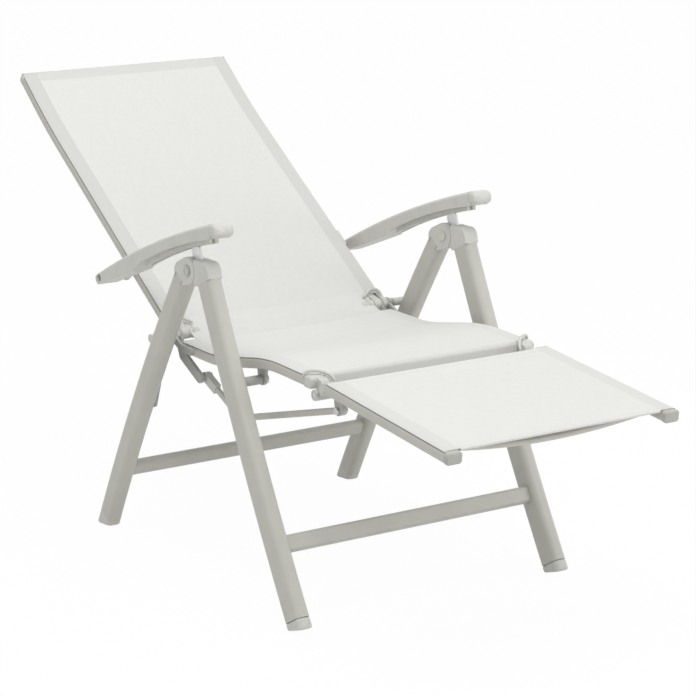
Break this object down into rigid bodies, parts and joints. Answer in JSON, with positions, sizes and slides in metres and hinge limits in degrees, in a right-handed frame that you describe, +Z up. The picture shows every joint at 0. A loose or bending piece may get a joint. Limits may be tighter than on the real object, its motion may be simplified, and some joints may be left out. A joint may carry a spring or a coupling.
{
  "type": "reclining garden armchair",
  "caption": "Folding reclining garden armchair with a footrest, powder coated aluminium frame and a woven sling, shown fully reclined",
  "frame": {"origin": "on the floor, under the middle of the chair's overall box", "axes": "X runs across the chair, -Y is the front with the footrest, +Y the head of the back, Z is up"},
  "size_m": [0.602, 1.531, 0.8379],
  "materials": {
    "frame_coat": "fine textured powder coat in a warm light grey",
    "plastic": "moulded grey plastic, lightly textured",
    "foot_plastic": "matt foot plug",
    "zinc": "zinc plated flat steel",
    "steel": "plain turned pins and rivets",
    "dark_steel": "darker grey coat on the hinge plates",
    "sling": "off-white woven mesh"
  },
  "bodies": {
    "front_frame": {"front_leg_right": "frame_coat", "front_leg_left": "frame_coat", "front_crossbar": "frame_coat", "front_head_right": "plastic", "front_head_left": "plastic", "front_feet": "foot_plastic", "head_bolts": "plastic", "seat_pivot_spacers": "dark_steel", "seat_pivot_bolts": "steel", "strut_pins": "steel", "struts": "zinc"},
    "rear_frame": {"rear_leg_right": "frame_coat", "rear_leg_left": "frame_coat", "rear_crossbar": "frame_coat", "rear_head_right": "plastic", "rear_head_left": "plastic", "rear_feet": "foot_plastic"},
    "seat": {"seat_rail_right": "frame_coat", "seat_rail_left": "frame_coat", "seat_brackets": "dark_steel", "back_hinge_ears": "dark_steel", "seat_front_tube": "frame_coat", "seat_rear_tube": "frame_coat", "seat_sling": "sling", "seat_front_hinges": "plastic", "footrest_pins": "steel"},
    "cranks": {"back_hinge_axles": "steel", "crank_right": "dark_steel", "crank_left": "dark_steel"},
    "links": {"links": "dark_steel", "link_bolts": "steel", "link_knobs": "plastic"},
    "backrest": {"back_rail_right": "frame_coat", "back_rail_left": "frame_coat", "back_caps": "plastic", "back_top_tube": "frame_coat", "back_lower_tube": "frame_coat", "back_hinge_blocks": "plastic", "arm_lugs": "plastic", "back_sling": "sling"},
    "arm_pins": {"arm_pins": "steel"},
    "armrests": {"armrest_right": "plastic", "armrest_left": "plastic", "armrest_caps": "plastic", "rack_right": "plastic", "rack_left": "plastic"},
    "footrest": {"footrest_ears": "plastic", "footrest_rail_right": "frame_coat", "footrest_rail_left": "frame_coat", "footrest_caps": "plastic", "footrest_front_tube": "frame_coat", "footrest_rod_lugs": "dark_steel", "footrest_sling": "sling", "rod_pins": "steel"},
    "push_rods": {"push_rod_right": "frame_coat", "push_rod_left": "frame_coat", "rod_ends": "plastic", "rod_bolts": "steel"}
  },
  "joints": [
    {"name": "frame_fold", "type": "hinge", "parent": "front_frame", "child": "rear_frame", "pos_m": [0, -0.02688, 0.582], "axis": [1, 0, 0], "range_deg": [-56, 0]},
    {"name": "seat_turn", "type": "hinge", "parent": "front_frame", "child": "seat", "pos_m": [0, -0.16188, 0.4], "axis": [1, 0, 0], "range_deg": [-72.58, 0]},
    {"name": "link_turn", "type": "hinge", "parent": "rear_frame", "child": "links", "pos_m": [0, 0.18612, 0.279], "axis": [1, 0, 0], "range_deg": [-100.67, 0]},
    {"name": "recline", "type": "hinge", "parent": "seat", "child": "cranks", "pos_m": [0, 0.13212, 0.422], "axis": [1, 0, 0], "range_deg": [0, 38]},
    {"name": "back_fold", "type": "hinge", "parent": "cranks", "child": "backrest", "pos_m": [0, 0.13212, 0.422], "axis": [1, 0, 0], "range_deg": [0, 64.45]},
    {"name": "arm_pin_turn", "type": "hinge", "parent": "backrest", "child": "arm_pins", "pos_m": [0, 0.31012, 0.505], "axis": [1, 0, 0], "range_deg": [-72.74, 0]},
    {"name": "arm_turn", "type": "hinge", "parent": "arm_pins", "child": "armrests", "pos_m": [0, 0.31012, 0.505], "axis": [1, 0, 0], "range_deg": [-25.13, 0]},
    {"name": "footrest_turn", "type": "hinge", "parent": "seat", "child": "footrest", "pos_m": [0, -0.37488, 0.423], "axis": [1, 0, 0], "range_deg": [0, 88.54]},
    {"name": "rod_turn", "type": "hinge", "parent": "footrest", "child": "push_rods", "pos_m": [0, -0.41388, 0.401], "axis": [1, 0, 0], "range_deg": [-90.62, 0]}
  ],
  "couplings": [
    {"joint": "seat_turn", "follows": "frame_fold", "ratio": 1.2952},
    {"joint": "link_turn", "follows": "frame_fold", "ratio": 1.7967},
    {"joint": "back_fold", "follows": "frame_fold", "ratio": -1.15},
    {"joint": "arm_pin_turn", "follows": "frame_fold", "ratio": 1.298},
    {"joint": "arm_turn", "follows": "recline", "ratio": -0.66},
    {"joint": "footrest_turn", "follows": "recline", "ratio": 2.3288},
    {"joint": "rod_turn", "follows": "recline", "ratio": -2.3833}
  ]
}
